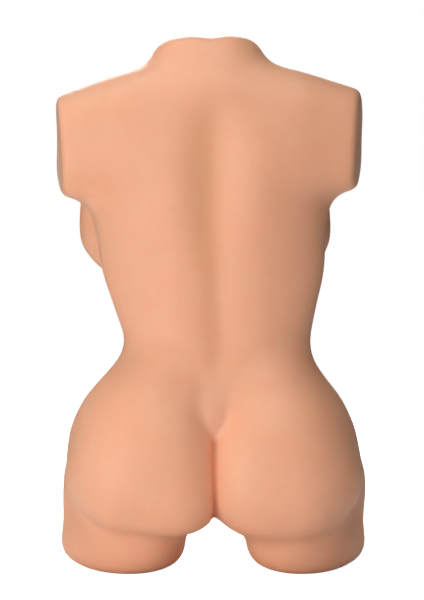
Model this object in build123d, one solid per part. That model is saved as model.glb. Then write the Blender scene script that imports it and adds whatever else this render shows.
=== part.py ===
"""Headless torso mannequin: a cast soft elastomer skin over a foam core and a bolted steel tube frame.

Millimetres, +Z up. The origin is on the ground under the middle of the two thigh ends. +X is the
mannequin's right-hand side, and it faces +Y, so its back is towards -Y.
"""

import os
from math import copysign, cos, pi, sin

from build123d import *

# ---- driving dimensions ------------------------------------------------------------------------

HEIGHT = 716.0  # thigh ends to the top of the neck
WALL = 22.0  # skin thickness over the core, where no soft form adds to it
GLUE_GAP = 0.5  # between the core and what is round it
RING_POINTS = 20  # points in each closed section
FULLNESS = 2.3  # 2 is an ellipse, more is squarer
FURROW_SHARPNESS = 12  # more makes the furrow narrower

CROTCH_Z = 74.0  # the flat floor of the trunk between the thighs
# Trunk sections upwards: height, half width, back, front, depth of the furrow along the spine.
# The first is below the crotch.
TRUNK = [
    (45, 172, -72, 66, 0),
    (85, 196, -84, 76, 0),
    (127, 202, -96, 84, 0),
    (170, 188, -102, 90, 0),
    (213, 163, -99, 93, 0),
    (257, 137, -85, 91, 3),
    (283, 128, -77, 87, 5),
    (305, 127, -71, 84, 6),
    (345, 135, -66, 80, 7),
    (400, 150, -76, 80, 9),
    (455, 157, -88, 83, 12),
    (510, 166, -95, 85, 12),
    (565, 167, -95, 82, 12),
    (610, 148, -88, 68, 8),
    (645, 112, -76, 50, 0),
    (676, 62, -54, 36, 0),
]
# Shoulder sections outwards from the middle: distance from it, bottom, top, back, front.
SHOULDER = [
    (0, 500, 692, -78, 58),
    (60, 500, 686, -80, 60),
    (110, 500, 672, -84, 64),
    (150, 500, 660, -82, 64),
    (182, 504, 650, -73, 60),
    (216, 514, 637, -60, 52),
]
SHOULDER_FULLNESS = 2.5
# Neck sections: height, half width, back, front.
NECK = [(630, 84, -70, 54), (670, 78, -66, 52), (693, 73, -62, 51), (HEIGHT, 70, -59, 52)]
NECK_EDGE = 20.0
# Thigh sections: height, distance of the middle from x = 0, half width, back, front.
THIGH = [
    (0, 126.5, 79, -90, 88),
    (40, 125.5, 80.5, -94, 90),
    (88, 116, 82, -90, 85),
    (150, 104, 78, -76, 70),
]
THIGH_EDGE = 20.0
THIGH_FULLNESS = 2.1

ARM_CUT_X = 206.0  # where the flat arm end crosses the middle of the arm
ARM_CUT_Z = 577.0
ARM_CUT_LEAN = 3.3  # degrees, the top of the cut is further out
ARM_CUT_TURN = 7.0  # degrees, the cut faces a little to the back
ARM_CUT_HEIGHT = 300.0  # taller than the arm

BUTTOCK_CENTRE = (94.0, -60.0, 148.0)
BUTTOCK_RADIUS, BUTTOCK_HALF_HEIGHT = 101.0, 102.0
BREAST_CENTRE = (97.0, 82.0, 468.0)
BREAST_RADIUS = 79.0

# Frame: tubes that plug into cast fittings, all in the plane y = FRAME_Y.
FRAME_Y = -5.0
SHOULDER_Z = ARM_CUT_Z
HIP_Z = 160.0
THIGH_X = 118.0
TUBE_R, TUBE_WALL = 13.5, 2.0
HUB_R = 19.0
SOCKET_CLEARANCE = 0.3
FITTING_REACH = 42.0  # from the middle of a hip fitting to the rim of a socket
SOCKET_FLOOR = 15.0  # from the middle of a hip fitting to the floor of a socket
CROSS_REACH, CROSS_RISE = 46.0, 32.0
CROSS_SOCKET_FLOOR = 17.0
TUBE_GAP = 1.0  # from a tube's end to the floor of its socket

# End plates that keep the cut ends flat, and the flanges that hold them.
ARM_CORE_END = 184.0
NECK_CORE_END = HEIGHT - WALL
ARM_BOTTOM = 480.0  # lower than the arms, higher than the hips
PLATE_T = 8.0
FLANGE_R, FLANGE_T = 30.5, 7.0
FLANGE_REACH = 26.0  # from the plate to the rim of the flange's socket
FLANGE_SOCKET_FLOOR = 3.0

# Countersunk screws through plate and flange, and set screws that hold the tubes.
SCREW_R, SCREW_HEAD_R, SCREW_HEAD_T = 2.5, 5.0, 2.8
SCREW_RING_R = 24.5
SCREW_CLEARANCE = 0.15
SCREW_LENGTH = PLATE_T + FLANGE_T - 1.0
RECESS_WIDTH = 1.0
GRUB_R, GRUB_LENGTH = 4.0, 6.0
GRUB_KEY_R, GRUB_KEY_DEPTH = 2.0, 3.0
GRUB_FROM_RIM = 9.0  # from a socket's rim to its set screw

# Wooden dowels that line up the two halves of the core. Places are x, z.
DOWEL_R, DOWEL_LENGTH, DOWEL_EDGE = 6.0, 44.0, 1.0
DOWELS = [(62, 250), (-62, 250), (70, 470), (-70, 470)]

POCKET = 1.5  # room in the foam round each frame piece
MARGIN = 900.0  # larger than the object, for cutting boxes


# ---- section and solid helpers -----------------------------------------------------------------


def oval(place, half_width, back, front, fullness=FULLNESS, seam=0.0, furrow=0.0):
    """Closed smooth wire. place(u, v) gives the point that lies u across and v towards the front.

    The furrow moves the middle of the back forwards.

    The wire starts at seam, a share of a turn from +u, so that seams of joined forms don't cross."""
    points = []
    for i in range(RING_POINTS):
        angle = 2 * pi * (i / RING_POINTS + seam)
        c, s = cos(angle), sin(angle)
        u = half_width * copysign(abs(c) ** (2 / fullness), c)
        depth = front if s > 0 else -back
        v = depth * copysign(abs(s) ** (2 / fullness), s)
        if s < 0:
            v += furrow * abs(s) ** FURROW_SHARPNESS
        points.append(place(u, v))
    return Wire([Spline(*points, periodic=True)])


def loft_through(wires):
    return Solid.make_loft(wires)


ON_TOP = (Align.CENTER, Align.CENTER, Align.MAX)


def slab(x=None, y=None, z=None):
    """Box between the two limits that each axis gives, and far past the object on the others."""
    low, high = [], []
    for limits in (x, y, z):
        a, b = limits or (-MARGIN, MARGIN)
        low.append(a)
        high.append(b)
    size = [b - a for a, b in zip(low, high)]
    centre = [(a + b) / 2 for a, b in zip(low, high)]
    return Pos(*centre) * Box(*size)


def mirrored(shape):
    return mirror(shape, about=Plane.YZ)


# ---- the outer form, and the same form inset for the core --------------------------------------


def trunk(inset=0.0):
    wires = []
    for z, half_width, back, front, furrow in TRUNK:
        wires.append(
            oval(
                lambda u, v, z=z: (u, v, z),
                half_width - inset,
                back + inset,
                front - inset,
                seam=0.75,
                furrow=furrow,
            )
        )
    return loft_through(wires) & slab(z=(CROTCH_Z + inset, HEIGHT))


def shoulders(inset=0.0):
    stations = [(-x, *rest) for x, *rest in reversed(SHOULDER[1:])] + SHOULDER
    wires = []
    for x, bottom, top, back, front in stations:
        middle, half_height = (bottom + top) / 2, (top - bottom) / 2
        wires.append(
            oval(
                lambda u, v, x=x, middle=middle: (x, v, middle + u),
                half_height - inset,
                back + inset,
                front - inset,
                SHOULDER_FULLNESS,
                seam=0.5,
            )
        )
    return loft_through(wires)


def neck(inset=0.0):
    wires = []
    for z, half_width, back, front in NECK:
        wires.append(
            oval(
                lambda u, v, z=z: (u, v, z),
                half_width - inset,
                back + inset,
                front - inset,
                seam=0.25,
            )
        )
    solid = loft_through(wires)
    if inset:
        return solid
    return fillet(solid.edges().group_by(Axis.Z)[-1], NECK_EDGE)


def thigh(inset=0.0):
    wires = []
    for z, middle, half_width, back, front in THIGH:
        wires.append(
            oval(
                lambda u, v, z=z, middle=middle: (middle + u, v, z),
                half_width - inset,
                back + inset,
                front - inset,
                THIGH_FULLNESS,
                seam=0.5,
            )
        )
    solid = loft_through(wires)
    if inset:
        return solid
    return fillet(solid.edges().group_by(Axis.Z)[0], THIGH_EDGE)


def buttock():
    half = BUTTOCK_HALF_HEIGHT
    arc = EllipticalCenterArc((0, 0), BUTTOCK_RADIUS, half, start_angle=-90, arc_size=180)
    profile = Plane.XZ * make_face(arc + Line((0, -half), (0, half)))
    return Pos(*BUTTOCK_CENTRE) * revolve(profile, Axis.Z)


def breast():
    return Pos(*BREAST_CENTRE) * Sphere(BREAST_RADIUS)


def arm_cut():
    """Everything outside the flat end of the right arm."""
    block = Pos(MARGIN / 2, 0, 0) * Box(MARGIN, MARGIN, ARM_CUT_HEIGHT)
    turn = Rot(0, ARM_CUT_LEAN, -ARM_CUT_TURN)
    return Pos(ARM_CUT_X, 0, ARM_CUT_Z) * turn * block


def outer_form():
    form = trunk() + shoulders() + neck()
    cut = arm_cut()
    form = form - cut - mirrored(cut)
    for side in (thigh(), buttock(), breast()):
        form = form + side + mirrored(side)
    return form


def core_form(extra=0.0):
    """The space inside the skin. extra insets it a little more, for what fills it."""
    inset = WALL + extra
    form = trunk(inset)
    arms = shoulders(inset) & slab(x=(-ARM_CORE_END + extra, ARM_CORE_END - extra))
    top = neck(inset) & slab(z=(0, NECK_CORE_END - extra))
    leg = thigh(inset) & slab(z=(WALL + extra, HEIGHT))
    return form + arms + top + leg + mirrored(leg)



# ---- frame: tubes, fittings, flanges, plates and screws ----------------------------------------


def at(x, z):
    """Point in the plane of the frame."""
    return Vector(x, FRAME_Y, z)


def rod(start, end, radius):
    return Solid.make_cylinder(radius, (end - start).length, Plane(origin=start, z_dir=end - start))


def tube(start, end):
    return rod(start, end, TUBE_R) - rod(start, end, TUBE_R - TUBE_WALL)


def bore(start, end):
    return rod(start, end, TUBE_R + SOCKET_CLEARANCE)


def set_screw(place):
    """Screw that comes from the back and stops on the tube, with a hexagon socket."""
    tip = place - Vector(0, TUBE_R + SOCKET_CLEARANCE / 2, 0)
    outer = tip - Vector(0, GRUB_LENGTH, 0)
    key = Plane(origin=outer, z_dir=(0, 1, 0)) * RegularPolygon(GRUB_KEY_R, 6)
    return rod(tip, outer, GRUB_R) - extrude(key, GRUB_KEY_DEPTH)


def set_screw_hole(place):
    return rod(place, place - Vector(0, 2 * HUB_R, 0), GRUB_R + SCREW_CLEARANCE)


def shoulder_cross(extra=0.0):
    """Casting with a through hole for the spine tube and a socket on each side.

    With extra, it is the plain shape made larger by that much, as for every fitting below."""
    rise, reach, radius = CROSS_RISE + extra, CROSS_REACH + extra, HUB_R + extra
    body = rod(at(0, SHOULDER_Z - rise), at(0, SHOULDER_Z + rise), radius)
    body += rod(at(-reach, SHOULDER_Z), at(reach, SHOULDER_Z), radius)
    if extra:
        return body
    body -= bore(at(0, SHOULDER_Z - rise), at(0, SHOULDER_Z + rise))
    for side in (-1, 1):
        body -= bore(at(side * CROSS_SOCKET_FLOOR, SHOULDER_Z), at(side * reach, SHOULDER_Z))
    for place in CROSS_SET_SCREWS:
        body -= set_screw_hole(place)
    return body


def hip_tee(extra=0.0):
    """Casting that the spine tube stands in, with a socket on each side."""
    reach, radius = FITTING_REACH + extra, HUB_R + extra
    body = rod(at(0, HIP_Z), at(0, HIP_Z + reach), radius)
    body += rod(at(-reach, HIP_Z), at(reach, HIP_Z), radius)
    if extra:
        return body
    body -= bore(at(0, HIP_Z + SOCKET_FLOOR), at(0, HIP_Z + reach))
    for side in (-1, 1):
        body -= bore(at(side * SOCKET_FLOOR, HIP_Z), at(side * reach, HIP_Z))
    for place in TEE_SET_SCREWS:
        body -= set_screw_hole(place)
    return body


def hip_elbow(extra=0.0):
    """Right-hand casting that turns the hip tube down into the thigh."""
    reach, radius = FITTING_REACH + extra, HUB_R + extra
    corner = at(THIGH_X, HIP_Z)
    inward, down = at(THIGH_X - reach, HIP_Z), at(THIGH_X, HIP_Z - reach)
    body = rod(corner, inward, radius) + rod(corner, down, radius) + Pos(*corner) * Sphere(radius)
    if extra:
        return body
    body -= bore(at(THIGH_X - SOCKET_FLOOR, HIP_Z), inward)
    body -= bore(at(THIGH_X, HIP_Z - SOCKET_FLOOR), down)
    for place in ELBOW_SET_SCREWS:
        body -= set_screw_hole(place)
    return body


# The side of each end plate that its flange sits on. The normal points out through the plate.
ARM_END = Plane(origin=at(ARM_CORE_END - GLUE_GAP - PLATE_T, SHOULDER_Z), z_dir=(1, 0, 0))
NECK_END = Plane(origin=at(0, NECK_CORE_END - GLUE_GAP - PLATE_T), z_dir=(0, 0, 1))
THIGH_END = Plane(origin=at(THIGH_X, WALL + GLUE_GAP + PLATE_T), z_dir=(0, 0, -1))

# Where the set screws are, each a little in from the rim of its socket.
CROSS_SIDE = CROSS_REACH - GRUB_FROM_RIM
CROSS_UP = CROSS_RISE - GRUB_FROM_RIM
FITTING_SIDE = FITTING_REACH - GRUB_FROM_RIM
CROSS_SET_SCREWS = [
    at(0, SHOULDER_Z + CROSS_UP),
    at(0, SHOULDER_Z - CROSS_UP),
    at(CROSS_SIDE, SHOULDER_Z),
    at(-CROSS_SIDE, SHOULDER_Z),
]
TEE_SET_SCREWS = [at(0, HIP_Z + FITTING_SIDE), at(FITTING_SIDE, HIP_Z), at(-FITTING_SIDE, HIP_Z)]
ELBOW_SET_SCREWS = [at(THIGH_X - FITTING_SIDE, HIP_Z), at(THIGH_X, HIP_Z - FITTING_SIDE)]


def flange_set_screw_place(face):
    return face.origin - face.z_dir * (FLANGE_REACH - GRUB_FROM_RIM)


def plate_screw_places(face):
    quarter = pi / 2
    angles = [quarter / 2 + quarter * i for i in range(4)]
    return [face * Pos(SCREW_RING_R * cos(a), SCREW_RING_R * sin(a), 0) for a in angles]


def flange(face, extra=0.0):
    """Round flange on the end plate, with a socket for the tube."""
    out, centre = face.z_dir, face.origin
    body = rod(centre - out * (FLANGE_T + extra), centre, FLANGE_R + extra)
    body += rod(centre - out * (FLANGE_REACH + extra), centre, HUB_R + extra)
    if extra:
        return body
    body -= bore(centre - out * FLANGE_REACH, centre - out * FLANGE_SOCKET_FLOOR)
    for place in plate_screw_places(face):
        body -= place * Cylinder(SCREW_R + SCREW_CLEARANCE, 3 * FLANGE_T)
    return body - set_screw_hole(flange_set_screw_place(face))


def countersunk(extra=0.0, length=SCREW_LENGTH):
    """Countersunk screw along -Z, with the top of its head at z = 0."""
    head = Cone(SCREW_R + extra, SCREW_HEAD_R + extra, SCREW_HEAD_T, align=ON_TOP)
    shank = Cylinder(SCREW_R + extra, length - SCREW_HEAD_T, align=ON_TOP)
    return head + Pos(0, 0, -SCREW_HEAD_T) * shank


def plate_screws(face):
    """The four screws through a plate into its flange, each with a cross recess."""
    cross = Box(2 * SCREW_R, RECESS_WIDTH, SCREW_HEAD_T) + Box(RECESS_WIDTH, 2 * SCREW_R, SCREW_HEAD_T)
    screw = countersunk() - cross
    return [place * Pos(0, 0, PLATE_T) * screw for place in plate_screw_places(face)]


def end_plate(blank, face):
    """The blank drilled and countersunk for the flange screws."""
    for place in plate_screw_places(face):
        blank -= place * Pos(0, 0, PLATE_T) * countersunk(SCREW_CLEARANCE, 2 * PLATE_T)
    return blank


def dowel(x, z, extra=0.0):
    half = Vector(0, DOWEL_LENGTH / 2 + extra, 0)
    peg = rod(at(x, z) - half, at(x, z) + half, DOWEL_R + extra)
    return peg if extra else chamfer(peg.edges().filter_by(GeomType.CIRCLE), DOWEL_EDGE)


# ---- all pieces ---------------------------------------------------------------------------------


def tubes_and_fittings():
    thigh_end, arm_end, neck_end = (
        face.origin - face.z_dir * (FLANGE_SOCKET_FLOOR + TUBE_GAP)
        for face in (THIGH_END, ARM_END, NECK_END)
    )
    hip_floor = SOCKET_FLOOR + TUBE_GAP
    pieces = {
        "spine_tube": tube(at(0, HIP_Z + hip_floor), neck_end),
        "shoulder_cross": shoulder_cross(),
        "hip_tee": hip_tee(),
        "neck_flange": flange(NECK_END),
    }
    right = {
        "shoulder_tube": tube(at(CROSS_SOCKET_FLOOR + TUBE_GAP, SHOULDER_Z), arm_end),
        "hip_tube": tube(at(hip_floor, HIP_Z), at(THIGH_X - hip_floor, HIP_Z)),
        "thigh_tube": tube(thigh_end, at(THIGH_X, HIP_Z - hip_floor)),
        "hip_elbow": hip_elbow(),
        "arm_flange": flange(ARM_END),
        "thigh_flange": flange(THIGH_END),
    }
    for name, solid in right.items():
        pieces[name + "_right"] = solid
        pieces[name + "_left"] = mirrored(solid)
    return pieces


def both_sides(solids):
    return solids + [mirrored(solid) for solid in solids]


def screws():
    arm, thigh_end = plate_screws(ARM_END), plate_screws(THIGH_END)
    neck_set, arm_set, thigh_set = (
        set_screw(flange_set_screw_place(face)) for face in (NECK_END, ARM_END, THIGH_END)
    )
    groups = {
        "neck_plate_screws": plate_screws(NECK_END),
        "arm_plate_screws_right": arm,
        "arm_plate_screws_left": [mirrored(screw) for screw in arm],
        "thigh_plate_screws_right": thigh_end,
        "thigh_plate_screws_left": [mirrored(screw) for screw in thigh_end],
        "shoulder_cross_set_screws": [set_screw(place) for place in CROSS_SET_SCREWS],
        "hip_tee_set_screws": [set_screw(place) for place in TEE_SET_SCREWS],
        "hip_elbow_set_screws": both_sides([set_screw(place) for place in ELBOW_SET_SCREWS]),
        "flange_set_screws": [neck_set] + both_sides([arm_set, thigh_set]),
    }
    return {name: Compound(children=solids) for name, solids in groups.items()}


def end_plates(core):
    neck_blank = core & slab(z=(NECK_END.origin.Z, NECK_CORE_END))
    arm_blank = core & slab(x=(ARM_END.origin.X, ARM_CORE_END), z=(ARM_BOTTOM, HEIGHT))
    thigh_blank = core & slab(x=(0, MARGIN), z=(WALL, THIGH_END.origin.Z))
    arm_plate, thigh_plate = end_plate(arm_blank, ARM_END), end_plate(thigh_blank, THIGH_END)
    return {
        "neck_plate": end_plate(neck_blank, NECK_END),
        "arm_plate_right": arm_plate,
        "arm_plate_left": mirrored(arm_plate),
        "thigh_plate_right": thigh_plate,
        "thigh_plate_left": mirrored(thigh_plate),
    }


def foam_pockets():
    """What the foam leaves free: the frame, a little larger than it is, and the dowels."""
    neck_end, arm_end, thigh_end = NECK_END.origin, ARM_END.origin, THIGH_END.origin
    hole = TUBE_R + POCKET
    middle = [
        rod(at(0, HIP_Z), neck_end, hole),
        shoulder_cross(POCKET),
        hip_tee(POCKET),
        flange(NECK_END, POCKET),
    ]
    right = [
        rod(at(0, SHOULDER_Z), arm_end, hole),
        rod(at(0, HIP_Z), at(THIGH_X, HIP_Z), hole),
        rod(thigh_end, at(THIGH_X, HIP_Z), hole),
        hip_elbow(POCKET),
        flange(ARM_END, POCKET),
        flange(THIGH_END, POCKET),
    ]
    return middle + both_sides(right) + [dowel(x, z, GLUE_GAP / 2) for x, z in DOWELS]


def foam_halves(core):
    foam = core & slab(z=(THIGH_END.origin.Z + GLUE_GAP, NECK_END.origin.Z - GLUE_GAP))
    arm_end = slab(x=(ARM_END.origin.X - GLUE_GAP, MARGIN), z=(ARM_BOTTOM, HEIGHT))
    for cut in [arm_end, mirrored(arm_end)] + foam_pockets():
        foam -= cut
    seam = GLUE_GAP / 2
    return {
        "foam_core_front": foam & slab(y=(FRAME_Y + seam, MARGIN)),
        "foam_core_back": foam & slab(y=(-MARGIN, FRAME_Y - seam)),
    }


def main():
    os.makedirs("parts", exist_ok=True)
    core = core_form(GLUE_GAP)
    pieces = {
        "torso_skin": outer_form() - core_form(),
        **foam_halves(core),
        **end_plates(core),
        **tubes_and_fittings(),
        **screws(),
        "core_dowels": Compound(children=[dowel(x, z) for x, z in DOWELS]),
    }
    for name, shape in pieces.items():
        export_step(shape, f"parts/{name}.step")


main()
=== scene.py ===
"""Looks of the headless torso mannequin: a sculpted soft skin over the CAD frame. Millimetres in the
sculpting code, metres in the scene. +X is the mannequin's right-hand side, its back is towards -Y."""

from math import cos, radians, sin

import bpy
import numpy as np
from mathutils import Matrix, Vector


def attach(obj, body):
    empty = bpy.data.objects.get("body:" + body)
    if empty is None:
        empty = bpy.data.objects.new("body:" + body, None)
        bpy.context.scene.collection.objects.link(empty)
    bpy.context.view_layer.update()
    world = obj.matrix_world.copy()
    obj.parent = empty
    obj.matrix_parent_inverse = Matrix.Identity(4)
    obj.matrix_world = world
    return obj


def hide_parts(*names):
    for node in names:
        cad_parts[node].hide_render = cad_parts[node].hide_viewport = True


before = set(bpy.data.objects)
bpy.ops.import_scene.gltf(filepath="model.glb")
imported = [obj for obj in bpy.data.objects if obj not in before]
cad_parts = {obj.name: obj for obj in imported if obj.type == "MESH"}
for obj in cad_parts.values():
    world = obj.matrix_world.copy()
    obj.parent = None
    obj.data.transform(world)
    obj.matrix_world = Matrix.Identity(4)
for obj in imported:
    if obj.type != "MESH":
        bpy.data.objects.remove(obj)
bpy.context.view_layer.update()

MM = 0.001

# ---- numbers of the form ------------------------------------------------------------------------

HEIGHT = 716.0
CROTCH_Z = 73.0
# Trunk: height, half width, back, front.
TRUNK = [
    (40, 170, -72, 66),
    (85, 196, -84, 76),
    (127, 202, -96, 84),
    (150, 198, -104, 88),
    (170, 191, -108, 90),
    (192, 182, -109, 92),
    (213, 170, -106, 93),
    (235, 159, -98, 92),
    (257, 144, -87, 91),
    (283, 130, -77, 87),
    (305, 127, -71, 84),
    (345, 136, -67, 80),
    (400, 151, -76, 81),
    (455, 157, -88, 84),
    (510, 166, -95, 86),
    (565, 167, -95, 82),
    (610, 148, -88, 68),
    (650, 112, -76, 50),
    (690, 58, -52, 32),
]
# Shoulders: distance from the middle, bottom, top, back, front.
SHOULDER = [
    (0, 500, 690, -78, 58),
    (60, 500, 683, -80, 60),
    (92, 500, 675, -82, 62),
    (118, 500, 668, -83, 64),
    (150, 499, 659, -79, 64),
    (182, 503, 649, -74, 60),
    (216, 514, 637, -66, 52),
]
SHOULDER_FULLNESS = 2.5
# Neck: height, half width, back, front.
NECK = [(640, 80, -70, 54), (670, 76, -66, 52), (693, 72, -62, 51), (716, 69, -59, 52)]
# Thighs: height, distance of the middle from x = 0, half width, back, front.
THIGH = [
    (0, 126.5, 79, -90, 88),
    (40, 125.5, 80.5, -94, 90),
    (88, 116, 82, -90, 85),
    (150, 104, 78, -76, 70),
]
BUTTOCK = (93.0, -60.0, 136.0)
BUTTOCK_SIZE = (103.0, 101.0, 86.0)
BUTTOCK_RISE = 120.0  # the same above its middle
BUTTOCK_NARROWS = 0.12  # how fast its outer side draws in above its middle
# Side, how much lower it hangs, how square the lower corner beside the cleft is.
BUTTOCK_SIDES = ((-1, -3.0, 0.9), (1, 5.0, -0.2))
BREAST = (96.0, 82.0, 466.0)
BREAST_SIZE = (80.0, 79.0, 78.0)
BREAST_RISE = 150.0  # the same above its middle
BREAST_SLOPE = 1.0  # how fast it draws back above its middle
BREAST_SLOPE_START = 60.0  # how softly that begins
LEFT_BREAST_OUT = 5.0
ARM_CUT = (206.0, 577.0)
ARM_LEAN = 3.3
ARM_TURN = {-1: 4.0, 1: 13.0}  # degrees that each cut faces backwards
# How far the form stands to the side: height, distance.
SWAY = [
    (0, -0.5),
    (60, -0.5),
    (120, 1.5),
    (170, 0),
    (230, 0),
    (260, 1),
    (300, 6),
    (345, 3),
    (385, 1),
    (430, -1.5),
    (480, -3.5),
    (560, -4),
    (640, -5),
    (680, -8),
    (716, -9),
]
TILT = 1.8  # degrees, the right shoulder is higher
# How far the form turns about the vertical, right side forward: height, degrees.
TWIST = [(0, 0), (150, 0), (230, 1), (300, 3.5), (380, 4), (470, 4), (716, 4)]

# Furrow along the spine: depth at the waist and between the shoulder blades, reach at both.
FURROW_DEPTH = (5.5, 9.5)
FURROW_REACH = (19, 30)
BROAD_FURROW_DEPTH, BROAD_FURROW_REACH = (3.0, 5.0), 60
RIDGE_HEIGHT, RIDGE_X, RIDGE_REACH = 2.5, 58, 28
NECK_FURROW_DEPTH, NECK_FURROW_REACH = 6.0, 24
BREASTBONE_DEPTH, BREASTBONE_REACH = 4.0, 20
CLEFT_DEPTH, CLEFT_REACH = 32, 15
NAPE_DIP, NAPE_X, NAPE_REACH = 4.0, 2, 16
# Hollows, and mounds where the depth is below zero: depth, middle (x, z), reach in x and in z.
TAIL_BONE = (-11.0, (-13, 214), (32, 44))
SHOULDER_BLADE = (-3.0, (92, 575), (38, 60))
BELLY = (-4.0, (0, 262), (62, 55))
NAVEL = (8.0, (0, 318), (8, 9))
BELLY_LINE = (1.4, (0, 385), (15, 60))
# Folds, and ridges where the depth is below zero: depth, start and end (x, z), reach.
GROIN = (4.5, (112, 190), (36, 110), 21)
COLLARBONE = (-3.0, (40, 646), (130, 650), 17)
# How softly the forms run together.
SHOULDER_BLEND, NECK_BLEND, THIGH_BLEND = 26, 36, (14, 48)

CELL = 3.7  # spacing of the skin's points
FINE_CELL, FINE_MIDDLE, FINE_REACH = 1.85, 3.0, 22.0  # the same beside the middle plane


# ---- field of the form --------------------------------------------------------------------------


def smin(a, b, k):
    h = np.clip(1 - np.abs(a - b) / k, 0, 1)
    return np.minimum(a, b) - h * h * k / 4


def smax(a, b, k):
    return -smin(-a, -b, k)


def step(x, low, high):
    t = np.clip((x - low) / (high - low), 0, 1)
    return t * t * (3 - 2 * t)


def bump(x, centre, width):
    return np.exp(-(((x - centre) / width) ** 2))


def table(rows, smooth=7.0):
    """Smooth curves through the rows' values, sampled each millimetre."""
    rows = np.array(rows, float)
    x = rows[:, 0]
    t = np.arange(x[0] - 60, x[-1] + 61)
    out = []
    for column in rows.T[1:]:
        slope = np.gradient(column, x)
        i = np.clip(np.searchsorted(x, t) - 1, 0, len(x) - 2)
        gap = x[i + 1] - x[i]
        u = (t - x[i]) / gap
        inside = (
            (2 * u**3 - 3 * u**2 + 1) * column[i]
            + (u**3 - 2 * u**2 + u) * gap * slope[i]
            + (3 * u**2 - 2 * u**3) * column[i + 1]
            + (u**3 - u**2) * gap * slope[i + 1]
        )
        low = column[0] + slope[0] * (t - x[0])
        high = column[-1] + slope[-1] * (t - x[-1])
        out.append(np.where(u < 0, low, np.where(u > 1, high, inside)))
    kernel = np.exp(-((np.arange(-30, 31) / smooth) ** 2) / 2)
    kernel /= kernel.sum()
    padded = [np.pad(c, 30, mode="reflect", reflect_type="odd") for c in out]
    return t, [np.convolve(c, kernel, "valid") for c in padded]


def at(curves, x):
    t, columns = curves
    return [np.interp(x, t, c) for c in columns]


def section(u, v, half, back, front, fullness):
    """Distance along the ray from the section's middle to its outline."""
    half = np.maximum(half, 4)
    depth = np.maximum(np.where(v > 0, front, -back), 4)
    r = np.sqrt(u * u + v * v) + 1e-6
    g = ((np.abs(u) / half) ** fullness + (np.abs(v) / depth) ** fullness) ** (1 / fullness) + 1e-9
    return r - r / g


def lobe(x, y, z, centre, size, rise, power=2.0):
    """An egg: size below its middle, turning into rise above it. Power may vary from place to place."""
    away = [v - c for v, c in zip((x, y, z), centre)]
    half = [size[0], size[1], size[2] + (rise - size[2]) * step(away[2], -0.6 * size[2], 0.6 * size[2])]
    g = sum((np.abs(v) / h) ** power for v, h in zip(away, half)) ** (1 / power) + 1e-6
    r = np.sqrt(sum(v * v for v in away))
    return r - r / g


def dimple(x, z, depth, middle, reach):
    """An oval hollow in the (x, z) plane."""
    return depth * bump(x, middle[0], reach[0]) * bump(z, middle[1], reach[1])


def fold(x, z, depth, start, end, reach):
    """A straight fold in the (x, z) plane."""
    (a, b), (c, d) = start, end
    t = np.clip(((x - a) * (c - a) + (z - b) * (d - b)) / ((c - a) ** 2 + (d - b) ** 2), 0, 1)
    return depth * np.exp(-(((x - a - t * (c - a)) ** 2 + (z - b - t * (d - b)) ** 2) / reach**2))


def between(pair, amount):
    return pair[0] + (pair[1] - pair[0]) * amount


TRUNK_T, SHOULDER_T, NECK_T, THIGH_T = table(TRUNK), table(SHOULDER), table(NECK), table(THIGH)
SWAY_T, TWIST_T = table(SWAY, 16.0), table(TWIST, 20.0)


def upright(x, y, z):
    """The point in the coordinates of the form as if it stood straight."""
    x = x - at(SWAY_T, z)[0]
    turn = np.radians(at(TWIST_T, z)[0])
    x, y = x * np.cos(turn) + y * np.sin(turn), y * np.cos(turn) - x * np.sin(turn)
    return x, y, z - x * np.tan(radians(TILT)) * step(z, 380, 540)


def spine_furrow(x, z):
    """Furrow with a ridge on each side, wider and deeper between the shoulder blades."""
    high = step(z, 380, 500)
    narrow = between(FURROW_DEPTH, high) * bump(x, -2 * high, between(FURROW_REACH, high))
    broad = between(BROAD_FURROW_DEPTH, high) * bump(x, 0, BROAD_FURROW_REACH)
    ridges = RIDGE_HEIGHT * bump(np.abs(x), RIDGE_X, RIDGE_REACH)
    return (narrow + broad - ridges) * step(z, 215, 290) * (1 - step(z, 550, 660))


def trunk(x, y, z, behind, ahead):
    half, back, front = at(TRUNK_T, z)
    fullness = 2.3 - 0.3 * step(z, 190, 270) + 0.25 * step(z, 400, 520)
    fullness = fullness + 0.3 * step(x, 0, 60) * bump(z, 320, 110) * behind
    d = section(x, y, half, back, front, fullness)
    d = smax(d, CROTCH_Z - z, 10)
    d = smax(d, z - 660, 40)
    d = d + behind * (spine_furrow(x, z) + dimple(x, z, *TAIL_BONE))
    breastbone = BREASTBONE_DEPTH * bump(x, 0, BREASTBONE_REACH) * step(z, 380, 470)
    spots = sum(dimple(x, z, *spot) for spot in (BELLY_LINE, BELLY, NAVEL))
    d = d + ahead * (breastbone + spots + fold(np.abs(x), z, *GROIN))
    cleft = CLEFT_DEPTH * bump(x, 0, CLEFT_REACH) * step(-z, -186, -130) * step(z, 70, 95)
    return d + step(-y, 44, 84) * cleft


def shoulders(x, y, z, behind, ahead):
    """The bar of both shoulders, cut off at the arms."""
    ax = np.abs(x)
    bottom, top, back, front = at(SHOULDER_T, ax)
    middle = (top + bottom) / 2
    fuller = SHOULDER_FULLNESS + 0.9 * step(middle - z, -10, 30)
    d = section(z - middle, y, (top - bottom) / 2, back, front, fuller)
    lean, turn = radians(ARM_LEAN), np.where(x < 0, radians(ARM_TURN[-1]), radians(ARM_TURN[1]))
    out, up = ax - ARM_CUT[0], z - ARM_CUT[1]
    d = smax(d, out * cos(lean) * np.cos(turn) - y * np.sin(turn) - up * sin(lean), 9)
    furrow = NECK_FURROW_DEPTH * bump(x, 0, NECK_FURROW_REACH) * (1 - step(z, 550, 670))
    d = d + behind * (dimple(ax, z, *SHOULDER_BLADE) + furrow)
    breastbone = BREASTBONE_DEPTH * bump(x, 0, BREASTBONE_REACH)
    return d + ahead * (breastbone + fold(ax, z, *COLLARBONE))


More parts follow.
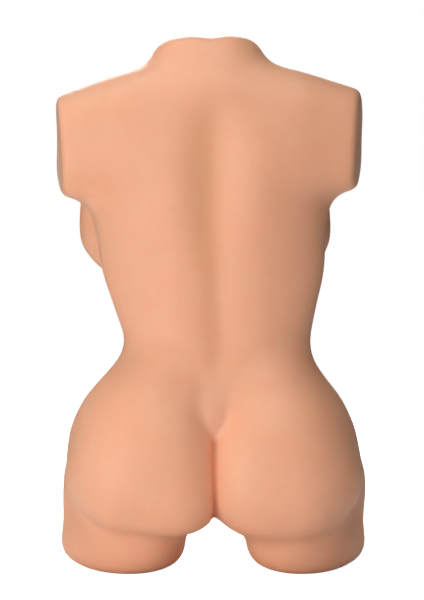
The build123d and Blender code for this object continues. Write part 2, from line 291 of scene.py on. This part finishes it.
def neck(x, y, z):
    half, back, front = at(NECK_T, z)
    d = section(x, y, half, back, front, 2.25)
    top = HEIGHT - 2 - NAPE_DIP * bump(x, NAPE_X, NAPE_REACH) * step(-y, -30, 60)
    return smax(smax(d, z - top, 24), 620 - z, 40)


def thighs(x, y, z, behind):
    """Both thighs. The left one is a little thicker and nearer the middle."""
    middle, half, back, front = at(THIGH_T, z)
    middle, half = np.where(x < 0, middle - 4, middle), np.where(x < 0, half + 4.5, half + 1)
    across = np.abs(x) - middle
    d = section(across, y - 0.28 * across * behind, half, back, front, 2.1)
    return smax(smax(d, 7 * (across / half) ** 2 - z, 30), z - 150, 50)


def buttock(x, y, z, side, drop, corner):
    """One side's lobe, squarer beside the cleft and cut off at the middle plane."""
    u = side * x
    centre = (BUTTOCK[0], BUTTOCK[1], BUTTOCK[2] - drop)
    inward = (centre[0] - u) / BUTTOCK_SIZE[0]
    down = (centre[2] - z) / BUTTOCK_SIZE[2]
    square = 0.2 + 0.7 * bump(down, 0, 0.5 + 0.16 * (down < 0)) + corner * step(down, -0.1, 0.7)
    power = 2 + step(inward, -0.2, 0.6) * square
    power = power + 0.4 * step(down, -0.3, 0.6) * step(inward, -0.9, -0.1)
    narrower = BUTTOCK_NARROWS * np.maximum(z - centre[2], 0) * step(-inward, 0, 0.3)
    size = (BUTTOCK_SIZE[0] - narrower, *BUTTOCK_SIZE[1:])
    return smax(lobe(u, y, z, centre, size, BUTTOCK_RISE, power), 0.6 - u, 6)


def breasts(x, y, z):
    u = np.where(x < 0, -x - LEFT_BREAST_OUT, x)
    above = np.maximum(z - BREAST[2], 0)
    drawn_back = BREAST_SLOPE * above**3 / (above + BREAST_SLOPE_START) ** 2
    return lobe(u, y + drawn_back, z, BREAST, BREAST_SIZE, BREAST_RISE)


def field(x, y, z):
    """Below zero inside the form. About the distance to its surface, in millimetres."""
    x, y, z = upright(x, y, z)
    ax = np.abs(x)
    behind, ahead = step(-y, -10, 30), step(y, 10, 40)
    body = smin(trunk(x, y, z, behind, ahead), shoulders(x, y, z, behind, ahead), SHOULDER_BLEND)
    body = smin(body, neck(x, y, z), NECK_BLEND)
    body = smin(body, thighs(x, y, z, behind), between(THIGH_BLEND, step(y, -30, 30)))
    # The buttocks meet the trunk in a crease beside the cleft and run into it softly above and outside.
    blend = 5 + 16 * step(ax, 8, 40) + 20 * step(z, 195, 250)
    blend = blend + step(ax, 20, 100) * (50 * step(z, 130, 235) - 20 * step(z, 195, 250))
    for side, drop, corner in BUTTOCK_SIDES:
        body = smin(body, buttock(x, y, z, side, drop, corner), blend)
    return smin(body, breasts(x, y, z), 14 + 60 * step(z, 470, 560))


# ---- surface of the field -----------------------------------------------------------------------


def surface(low, high, cell, fine):
    """Closed quad mesh where the field is zero, with finer cells beside the middle plane."""
    axes = [np.arange(a, b + cell, cell) for a, b in zip(low, high)]
    near = np.abs(axes[0] - FINE_MIDDLE) < FINE_REACH
    first, last = axes[0][near][[0, -1]]
    inner = np.linspace(first, last, round((last - first) / fine) + 1)
    before, after = axes[0] < first - cell / 2, axes[0] > last + cell / 2
    axes[0] = np.concatenate([axes[0][before], inner, axes[0][after]])
    d = np.empty([len(a) for a in axes], np.float32)
    for i, x in enumerate(axes[0]):
        d[i] = field(np.full(d.shape[1:], x), axes[1][:, None], axes[2][None, :] + 0 * axes[1][:, None])
    inside = d < 0
    cells = np.zeros([n - 1 for n in d.shape], np.int32)
    total = np.zeros(cells.shape + (3,), np.float32)
    count = np.zeros(cells.shape, np.int32)

    def part(array, offsets):
        return array[tuple(slice(o, o + n) for o, n in zip(offsets, cells.shape))]

    for axis in range(3):
        others = [i for i in range(3) if i != axis]
        for p in (0, 1):
            for q in (0, 1):
                a = [0, 0, 0]
                a[others[0]], a[others[1]] = p, q
                b = list(a)
                b[axis] = 1
                da, db = part(d, a), part(d, b)
                cross = part(inside, a) != part(inside, b)
                t = np.where(cross, da / np.where(cross, da - db, 1), 0)
                where = np.stack([np.full(cells.shape, float(v), np.float32) for v in a], -1)
                where[..., axis] = t
                total += where * cross[..., None]
                count += cross
    used = count > 0
    cells[:] = -1
    cells[used] = np.arange(used.sum())
    corner = np.stack(np.nonzero(used), -1)
    place = corner + total[used] / count[used][:, None]
    points = np.stack([np.interp(place[:, i], np.arange(len(a)), a) for i, a in enumerate(axes)], -1)
    quads = []
    for axis in range(3):
        o1, o2 = [(1, 2), (2, 0), (0, 1)][axis]
        a = inside[tuple(slice(1, -1) if i != axis else slice(0, -1) for i in range(3))]
        b = inside[tuple(slice(1, -1) if i != axis else slice(1, None) for i in range(3))]
        for flip in (False, True):
            hit = np.stack(np.nonzero((a & ~b) if not flip else (~a & b)), -1)
            hit[:, [i for i in range(3) if i != axis]] += 1
            ring = []
            for s, t in ((-1, -1), (0, -1), (0, 0), (-1, 0)):
                c = hit.copy()
                c[:, o1] += s
                c[:, o2] += t
                ring.append(cells[c[:, 0], c[:, 1], c[:, 2]])
            quad = np.stack(ring, -1)
            quads.append(quad[:, ::-1] if flip else quad)
    return points, np.concatenate(quads)


def settle(points, rounds=3):
    """Moves the points onto the zero of the field."""
    e = 0.5
    for _ in range(rounds):
        x, y, z = points.T
        d = field(x, y, z)
        g = np.stack(
            [
                field(x + e, y, z) - field(x - e, y, z),
                field(x, y + e, z) - field(x, y - e, z),
                field(x, y, z + e) - field(x, y, z - e),
            ],
            -1,
        ) / (2 * e)
        size = (g * g).sum(1) + 1e-6
        move = -d[:, None] * g / size[:, None]
        length = np.sqrt((move**2).sum(1)) + 1e-9
        points = points + move * np.minimum(1, 2.0 / length)[:, None]
    return points


def mesh_object(name, points, faces):
    mesh = bpy.data.meshes.new(name)
    mesh.vertices.add(len(points))
    mesh.vertices.foreach_set("co", (points * MM).astype(np.float32).ravel())
    mesh.loops.add(faces.size)
    mesh.loops.foreach_set("vertex_index", faces.astype(np.int32).ravel())
    mesh.polygons.add(len(faces))
    mesh.polygons.foreach_set("loop_start", np.arange(0, faces.size, 4, dtype=np.int32))
    mesh.update(calc_edges=True)
    mesh.validate()
    mesh.polygons.foreach_set("use_smooth", np.ones(len(mesh.polygons), bool))
    obj = bpy.data.objects.new(name, mesh)
    bpy.context.scene.collection.objects.link(obj)
    return obj


points, faces = surface((-232, -172, -10), (232, 172, 742), CELL, FINE_CELL)
points = settle(points)
skin = mesh_object("skin", points, faces)

# ---- materials ----------------------------------------------------------------------------------


class Material:
    """A Principled material and short calls that add nodes to it. Textures lie in object coordinates."""

    def __init__(self, name, **constants):
        self.material = bpy.data.materials.new(name)
        self.material.use_nodes = True
        self.tree = self.material.node_tree
        self.shader = self.tree.nodes["Principled BSDF"]
        self.place = self.tree.nodes.new("ShaderNodeTexCoord").outputs["Object"]
        for socket, value in constants.items():
            self.shader.inputs[socket.replace("_", " ")].default_value = value

    def node(self, kind, inputs=(), **settings):
        node = self.tree.nodes.new("ShaderNode" + kind)
        for name, value in settings.items():
            setattr(node, name, value)
        for key, value in dict(inputs).items():
            self.give(node.inputs[key], value)
        return node

    def give(self, socket, value):
        if isinstance(value, bpy.types.NodeSocket):
            self.tree.links.new(value, socket)
        else:
            socket.default_value = value

    def stretched(self, scale, offset=(0, 0, 0)):
        node = self.node("Mapping", {"Vector": self.place, "Scale": scale, "Location": offset})
        return node.outputs["Vector"]

    def noise(self, scale, detail=2.0, rough=0.5, place=None, distortion=0.0):
        inputs = {"Vector": place or self.place, "Scale": scale, "Detail": detail}
        inputs.update({"Roughness": rough, "Distortion": distortion})
        return self.node("TexNoise", inputs).outputs["Fac"]

    def cells(self, scale, place=None):
        inputs = {"Vector": place or self.place, "Scale": scale}
        return self.node("TexVoronoi", inputs).outputs["Distance"]

    def math(self, operation, a, b=0.0, clamp=False):
        node = self.node("Math", {0: a, 1: b}, operation=operation, use_clamp=clamp)
        return node.outputs["Value"]

    def span(self, value, low, high, new_low=0.0, new_high=1.0):
        inputs = {"Value": value, "From Min": low, "From Max": high}
        inputs.update({"To Min": new_low, "To Max": new_high})
        return self.node("MapRange", inputs, interpolation_type="SMOOTHSTEP").outputs["Result"]

    def mix(self, amount, a, b):
        node = self.node("Mix", data_type="RGBA")
        self.give(node.inputs["Factor"], amount)
        self.give(node.inputs["A"], a)
        self.give(node.inputs["B"], b)
        return node.outputs["Result"]

    def near(self, centre, reach):
        """1 at the centre, 0 from reach away."""
        node = self.node("VectorMath", {0: self.place, 1: centre}, operation="DISTANCE")
        return self.span(node.outputs["Value"], 0.0, reach, 1.0, 0.0)

    def near_line(self, value, centre, reach):
        """1 where the value is the centre's, 0 from reach away."""
        return self.span(self.math("ABSOLUTE", self.math("SUBTRACT", value, centre)), 0.0, reach, 1.0, 0.0)

    def finish(self, colour=None, roughness=None, bumps=()):
        if colour is not None:
            self.give(self.shader.inputs["Base Color"], colour)
        if roughness is not None:
            self.give(self.shader.inputs["Roughness"], roughness)
        normal = None
        for height, distance, strength in bumps:
            node = self.node("Bump", {"Height": height, "Distance": distance, "Strength": strength})
            if normal is not None:
                self.give(node.inputs["Normal"], normal)
            normal = node.outputs["Normal"]
        if normal is not None:
            self.give(self.shader.inputs["Normal"], normal)
        return self.material


def rgb(*values):
    return (*values, 1.0)


def soft_skin():
    m = Material(
        "soft_skin",
        Subsurface_Weight=0.5,
        Subsurface_Radius=(1.0, 0.33, 0.15),
        Subsurface_Scale=0.014,
        Specular_IOR_Level=0.45,
    )
    cloudy = m.noise(9.0, 3.0, 0.55)
    mottled = m.noise(55.0, 4.0, 0.6, distortion=0.4)
    flecks = m.noise(420.0, 2.0, 0.6)
    colour = m.mix(m.span(cloudy, 0.35, 0.65), rgb(0.88, 0.45, 0.28), rgb(0.89, 0.472, 0.30))
    colour = m.mix(m.span(mottled, 0.42, 0.7, 0.0, 0.4), colour, rgb(0.875, 0.42, 0.262))
    colour = m.mix(m.span(flecks, 0.62, 0.75, 0.0, 0.22), colour, rgb(0.80, 0.346, 0.205))
    # Painted shade: warmer and a little darker along the spine's furrow. Paler and pinker on the arm cuts.
    # Painted light: paler and pinker over the tail bone.
    x, y, z = m.node("SeparateXYZ", {0: m.place}).outputs
    # Painted shade along the spine's furrow.
    furrow = m.math("MULTIPLY", m.near_line(x, -0.008, 0.04), m.span(z, 0.34, 0.44, 0.0, 0.6))
    furrow = m.math("MULTIPLY", furrow, m.span(z, 0.56, 0.66, 1.0, 0.0))
    furrow = m.math("MULTIPLY", furrow, m.span(y, -0.02, 0.02, 1.0, 0.0))
    colour = m.mix(furrow, colour, rgb(0.86, 0.43, 0.23))
    far_out = m.span(m.math("ABSOLUTE", x), 0.198, 0.208, 0.0, 0.7)
    arm_cut = m.math("MULTIPLY", far_out, m.span(z, 0.4, 0.46))
    colour = m.mix(arm_cut, colour, rgb(0.90, 0.55, 0.42))
    # Painted light over the tail bone.
    tail_bone_painted_light = m.math("MULTIPLY", m.near((-0.002, -0.09, 0.2), 0.05), 0.6)
    colour = m.mix(tail_bone_painted_light, colour, rgb(0.93, 0.53, 0.40))
    pits = m.cells(2600.0)
    rough = m.span(m.noise(130.0, 3.0), 0.3, 0.7, 0.48, 0.6)
    bumps = [(m.noise(700.0, 3.0, 0.55), 0.0003, 0.16), (pits, 0.0002, 0.10)]
    return m.finish(colour, rough, bumps)


def cut_foam():
    m = Material("cut_foam", Specular_IOR_Level=0.2)
    open_cells = m.cells(620.0)
    fine = m.noise(1500.0, 3.0, 0.7)
    colour = m.mix(m.span(m.noise(14.0, 3.0), 0.3, 0.7), rgb(0.80, 0.70, 0.44), rgb(0.87, 0.79, 0.55))
    colour = m.mix(m.span(open_cells, 0.0, 0.45, 0.75, 0.0), colour, rgb(0.52, 0.41, 0.22))
    rough = m.span(fine, 0.3, 0.7, 0.85, 0.97)
    return m.finish(colour, rough, [(open_cells, 0.0009, 0.8), (fine, 0.0004, 0.5)])


def birch_plywood(name, across, along):
    """Across is the axis number of the thickness, along that of the face grain."""
    m = Material(name, Specular_IOR_Level=0.35)
    scale = [260.0, 260.0, 260.0]
    scale[along] = 14.0
    grain = m.noise(1.0, 4.0, 0.6, m.stretched(scale), 0.6)
    scale[along] = 45.0
    fibre = m.noise(4.0, 2.0, 0.6, m.stretched(scale))
    face = m.mix(m.span(grain, 0.3, 0.7), rgb(0.60, 0.42, 0.23), rgb(0.74, 0.57, 0.35))
    face = m.mix(m.span(fibre, 0.5, 0.75, 0.0, 0.35), face, rgb(0.47, 0.30, 0.15))
    parts = m.node("SeparateXYZ", {0: m.place}).outputs
    ply = m.math("FRACT", m.math("MULTIPLY", parts[across], 1.0 / 0.0026))
    layers = m.mix(m.span(ply, 0.44, 0.56), rgb(0.70, 0.53, 0.31), rgb(0.42, 0.27, 0.13))
    normal = m.node("SeparateXYZ", {0: m.node("TexCoord").outputs["Normal"]}).outputs[across]
    edge = m.span(m.math("ABSOLUTE", normal), 0.3, 0.7, 1.0, 0.0)
    rough = m.span(grain, 0.2, 0.8, 0.55, 0.72)
    return m.finish(m.mix(edge, face, layers), rough, [(grain, 0.0002, 0.4), (fibre, 0.0001, 0.4)])


def beech():
    m = Material("beech", Specular_IOR_Level=0.35)
    grain = m.noise(1.0, 4.0, 0.6, m.stretched((340.0, 20.0, 340.0)), 0.5)
    fleck = m.noise(1.0, 1.0, 0.5, m.stretched((1500.0, 260.0, 1500.0)))
    colour = m.mix(m.span(grain, 0.3, 0.7), rgb(0.58, 0.37, 0.20), rgb(0.70, 0.50, 0.30))
    colour = m.mix(m.span(fleck, 0.6, 0.72, 0.0, 0.7), colour, rgb(0.38, 0.21, 0.10))
    return m.finish(colour, m.span(grain, 0.2, 0.8, 0.5, 0.66), [(grain, 0.0002, 0.4)])


def zinc_tube(name, along):
    m = Material(name, Metallic=1.0)
    scale = [2600.0, 2600.0, 2600.0]
    scale[along] = 30.0
    drawn = m.noise(1.0, 2.0, 0.5, m.stretched(scale))
    cloudy = m.noise(45.0, 4.0, 0.6)
    colour = m.mix(m.span(cloudy, 0.3, 0.7), rgb(0.50, 0.52, 0.55), rgb(0.66, 0.67, 0.69))
    rough = m.math("ADD", m.span(drawn, 0.3, 0.7, 0.22, 0.36), m.span(cloudy, 0.4, 0.8, 0.0, 0.12))
    return m.finish(colour, rough, [(drawn, 0.00005, 0.3)])


def galvanised_casting():
    m = Material("galvanised_casting", Metallic=1.0)
    grit = m.noise(900.0, 4.0, 0.65)
    patches = m.cells(110.0, m.stretched((1.0, 1.0, 1.0), (0.01, 0.02, 0.03)))
    colour = m.mix(m.span(patches, 0.1, 0.7), rgb(0.44, 0.45, 0.47), rgb(0.60, 0.61, 0.62))
    colour = m.mix(m.span(grit, 0.55, 0.8, 0.0, 0.5), colour, rgb(0.28, 0.28, 0.29))
    return m.finish(colour, m.span(grit, 0.3, 0.7, 0.45, 0.68), [(grit, 0.0005, 0.55)])


def yellow_zinc():
    m = Material("yellow_zinc", Metallic=1.0)
    cloudy = m.noise(260.0, 3.0, 0.5)
    colour = m.mix(m.span(cloudy, 0.35, 0.65), rgb(0.76, 0.60, 0.30), rgb(0.72, 0.66, 0.42))
    colour = m.mix(m.span(m.noise(500.0, 2.0), 0.62, 0.78, 0.0, 0.4), colour, rgb(0.62, 0.46, 0.48))
    return m.finish(colour, m.span(cloudy, 0.3, 0.7, 0.24, 0.38), [(m.noise(4000.0), 0.00004, 0.3)])


def black_oxide():
    m = Material("black_oxide", Metallic=1.0)
    cloudy = m.noise(600.0, 3.0, 0.6)
    colour = m.mix(m.span(cloudy, 0.35, 0.7), rgb(0.035, 0.036, 0.04), rgb(0.085, 0.083, 0.08))
    return m.finish(colour, m.span(cloudy, 0.3, 0.7, 0.35, 0.52), [(m.noise(5000.0), 0.00004, 0.3)])


def dress(nodes, material):
    for node in nodes:
        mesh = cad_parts[node].data
        mesh.materials.clear()
        mesh.materials.append(material)


def pair(name):
    return [name + "_left", name + "_right"]


skin.data.materials.append(soft_skin())
dress(["foam_core_front", "foam_core_back"], cut_foam())
dress(["neck_plate", *pair("thigh_plate")], birch_plywood("birch_plywood_level", 2, 0))
dress(pair("arm_plate"), birch_plywood("birch_plywood_upright", 0, 2))
dress(["core_dowels"], beech())
dress(["spine_tube", *pair("thigh_tube")], zinc_tube("zinc_tube_upright", 2))
dress([*pair("shoulder_tube"), *pair("hip_tube")], zinc_tube("zinc_tube_level", 0))
castings = ["shoulder_cross", "hip_tee", "neck_flange", *pair("hip_elbow")]
dress([*castings, *pair("arm_flange"), *pair("thigh_flange")], galvanised_casting())
dress(["neck_plate_screws", *pair("arm_plate_screws"), *pair("thigh_plate_screws")], yellow_zinc())
set_screws = ["shoulder_cross", "hip_tee", "hip_elbow", "flange"]
dress([name + "_set_screws" for name in set_screws], black_oxide())

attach(skin, "root")
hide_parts("torso_skin")

# ---- floor, light and camera --------------------------------------------------------------------

bpy.context.scene.view_settings.view_transform = "Standard"


def plane(name, size, z):
    mesh = bpy.data.meshes.new(name)
    s = size / 2
    mesh.from_pydata([(-s, -s, z), (s, -s, z), (s, s, z), (-s, s, z)], [], [(0, 1, 2, 3)])
    obj = bpy.data.objects.new(name, mesh)
    bpy.context.scene.collection.objects.link(obj)
    return obj


floor = plane("floor", 30.0, -0.0005)
pale = Material("pale_floor", Roughness=0.9, Specular_IOR_Level=0.1)
pale.give(pale.shader.inputs["Emission Color"], rgb(1, 1, 1))
# White to the camera. For the rest it has painted light: a glowing pool behind the mannequin stands in for
# lamp light bounced off the floor.
painted_light_pool = pale.math("MULTIPLY", pale.near((0.0, -0.9, 0.0), 0.8), 0.48)
glow = pale.math("MAXIMUM", painted_light_pool, pale.node("LightPath").outputs["Is Camera Ray"])
pale.give(pale.shader.inputs["Emission Strength"], glow)
grey = pale.mix(pale.span(pale.noise(3.0), 0.3, 0.7), rgb(0.86, 0.86, 0.86), rgb(0.90, 0.90, 0.90))
floor.data.materials.append(pale.finish(grey))

world = bpy.data.worlds.new("studio")
bpy.context.scene.world = world
world.use_nodes = True
nodes, links = world.node_tree.nodes, world.node_tree.links
backdrop = nodes["Background"]
backdrop.inputs["Color"].default_value = rgb(1, 1, 1)
backdrop.inputs["Strength"].default_value = 1.0
dim = nodes.new("ShaderNodeBackground")
dim.inputs["Color"].default_value = rgb(1, 0.93, 0.86)
dim.inputs["Strength"].default_value = 0.02
seen = nodes.new("ShaderNodeLightPath")
choose = nodes.new("ShaderNodeMixShader")
links.new(seen.outputs["Is Camera Ray"], choose.inputs[0])
links.new(dim.outputs[0], choose.inputs[1])
links.new(backdrop.outputs[0], choose.inputs[2])
links.new(choose.outputs[0], nodes["World Output"].inputs["Surface"])

# Softboxes: name, degrees round from behind the back towards +X, degrees up, watts, colour.
SOFTBOXES = [
    ("key", -40, 0, 22, (1.0, 0.98, 0.97)),
    ("fill", -15, 0, 13.5, (1.0, 0.97, 0.93)),
    ("over", 12, 60, 17, (1.0, 0.97, 0.93)),
    ("top", -60, 80, 16, (1.0, 0.97, 0.93)),
    ("side", -90, 45, 4, (1.0, 0.98, 0.96)),
    ("front_key", -174, 35, 22, (1.0, 0.97, 0.94)),
    ("front_fill", 172, 5, 10, (1.0, 0.96, 0.92)),
]
BOX_DISTANCE, BOX_SIZE = 2.5, 0.9
MIDDLE = Vector((0.0, 0.0, 0.36))
for name, azimuth, elevation, power, colour in SOFTBOXES:
    data = bpy.data.lights.new(name, "AREA")
    data.shape = "SQUARE"
    data.size = BOX_SIZE
    data.energy = power
    data.color = colour
    light = bpy.data.objects.new(name, data)
    a, e = radians(azimuth), radians(elevation)
    away = Vector((sin(a) * cos(e), -cos(a) * cos(e), sin(e)))
    light.location = MIDDLE + BOX_DISTANCE * away
    light.rotation_euler = away.to_track_quat("Z", "Y").to_euler()
    bpy.context.scene.collection.objects.link(light)

CAMERA_AT, LENS = (-0.002, -1.9, 0.361), 83.5  # looks square at the back
data = bpy.data.cameras.new("camera")
data.lens = LENS
data.sensor_width = 36
camera = bpy.data.objects.new("camera", data)
camera.location = CAMERA_AT
camera.rotation_euler = (radians(90), 0.0, 0.0)
bpy.context.scene.collection.objects.link(camera)
bpy.context.scene.camera = camera
